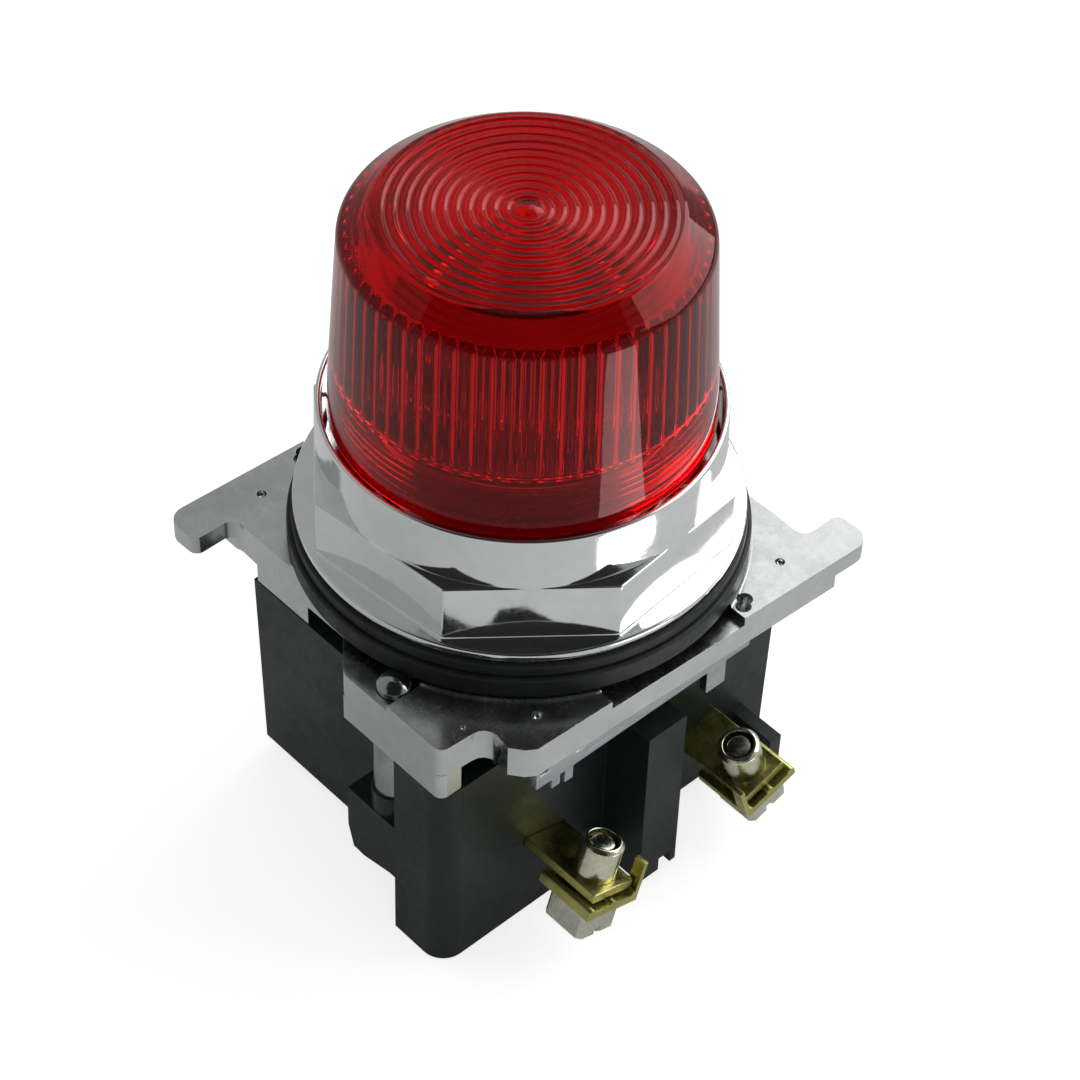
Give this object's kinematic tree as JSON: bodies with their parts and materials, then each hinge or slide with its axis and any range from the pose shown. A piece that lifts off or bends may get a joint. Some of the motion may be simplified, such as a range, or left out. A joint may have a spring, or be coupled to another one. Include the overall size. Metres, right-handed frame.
{
  "type": "panel pilot light",
  "caption": "Panel pilot light: ribbed red screw-on lens, chrome octagonal bezel nut, gaskets, die-cast base plate and a black lamp block with two wire clamps",
  "frame": {"origin": "on the lens axis, at the rear gasket's face that seats on the back of the panel", "axes": "+Z out of the panel through the lens, +X to the side with the wire terminals, +Y completing a right-handed frame"},
  "size_m": [0.0518, 0.0508, 0.0737],
  "materials": {
    "lens_red": "clear red moulding, gloss",
    "rubber_black": "matte",
    "chrome": "bright plated",
    "zinc_cast": "plated die casting, semi-bright",
    "steel_sheet": "zinc plated sheet",
    "phenolic_black": "black phenolic moulding, semi-gloss",
    "steel_screw": "plated",
    "brass_dull": "tarnished",
    "screw_nickel": "nickel plated",
    "brass_bright": "bright",
    "phenolic_brown": "moulded insulator",
    "spring_steel": "bright wire",
    "glass_clear": "clear",
    "solder": "soft solder",
    "tungsten": "wire",
    "lead_red": "insulated wire",
    "lead_black": "insulated wire"
  },
  "bodies": {
    "base": {"front_gasket": "rubber_black", "rear_gasket": "rubber_black", "operator_base": "zinc_cast", "mounting_plate": "steel_sheet", "lamp_housing": "phenolic_black", "rear_cover": "phenolic_black", "mounting_screws": "steel_screw", "lamp_lead_a": "lead_red", "lamp_lead_b": "lead_black", "lamp_socket": "brass_bright", "socket_insulator": "phenolic_brown", "contact_spring": "spring_steel", "terminal_strap_a": "brass_dull", "terminal_strap_b": "brass_dull", "terminal_bush_a": "screw_nickel", "terminal_bush_b": "screw_nickel"},
    "lens_slide": {"lens_seal": "rubber_black"},
    "lens_spin": {"lens": "lens_red"},
    "nut_slide": {"nut_washer": "steel_sheet"},
    "nut_spin": {"bezel_nut": "chrome"},
    "bulb": {"bulb_glass": "glass_clear", "bulb_base": "brass_bright", "bulb_contact": "solder", "filament": "tungsten", "centre_contact": "brass_bright"},
    "clamp_a": {"saddle_a": "brass_dull"},
    "screw_a": {"terminal_screw_a": "screw_nickel"},
    "clamp_b": {"saddle_b": "brass_dull"},
    "screw_b": {"terminal_screw_b": "screw_nickel"}
  },
  "joints": [
    {"name": "lens_lift", "type": "slide", "parent": "base", "child": "lens_slide", "axis": [0, 0, 1], "range_m": [0, 0.0045]},
    {"name": "lens_turn", "type": "hinge", "parent": "lens_slide", "child": "lens_spin", "pos_m": [0, 0, 0.02], "axis": [0, 0, 1], "range_deg": [0, 1081]},
    {"name": "nut_lift", "type": "slide", "parent": "base", "child": "nut_slide", "axis": [0, 0, 1], "range_m": [0, 0.005]},
    {"name": "nut_turn", "type": "hinge", "parent": "nut_slide", "child": "nut_spin", "pos_m": [0, 0, 0.006], "axis": [0, 0, 1], "range_deg": [0, 1201]},
    {"name": "bulb_push", "type": "slide", "parent": "base", "child": "bulb", "axis": [0, 0, -1], "range_m": [0, 0.002], "stiffness_N_per_m": 600, "springref_m": -0.002, "deforming": ["contact_spring"]},
    {"name": "clamp_a_lift", "type": "slide", "parent": "base", "child": "clamp_a", "axis": [0, -0.2924, -0.9563], "range_m": [-0.0003, 0.0015]},
    {"name": "screw_a_turn", "type": "hinge", "parent": "clamp_a", "child": "screw_a", "pos_m": [0.0242, -0.0122, -0.0275], "axis": [0, -0.2924, -0.9563], "range_deg": [-181, 901]},
    {"name": "clamp_b_lift", "type": "slide", "parent": "base", "child": "clamp_b", "axis": [0, 0.2924, -0.9563], "range_m": [-0.0003, 0.0015]},
    {"name": "screw_b_turn", "type": "hinge", "parent": "clamp_b", "child": "screw_b", "pos_m": [0.0242, 0.0104, -0.0275], "axis": [0, 0.2924, -0.9563], "range_deg": [-181, 901]}
  ],
  "couplings": [
    {"joint": "lens_turn", "follows": "lens_lift", "rad_per_m": 4188.8},
    {"joint": "nut_turn", "follows": "nut_lift", "rad_per_m": 4188.8},
    {"joint": "screw_a_turn", "follows": "clamp_a_lift", "rad_per_m": 10472},
    {"joint": "screw_b_turn", "follows": "clamp_b_lift", "rad_per_m": 10472}
  ]
}
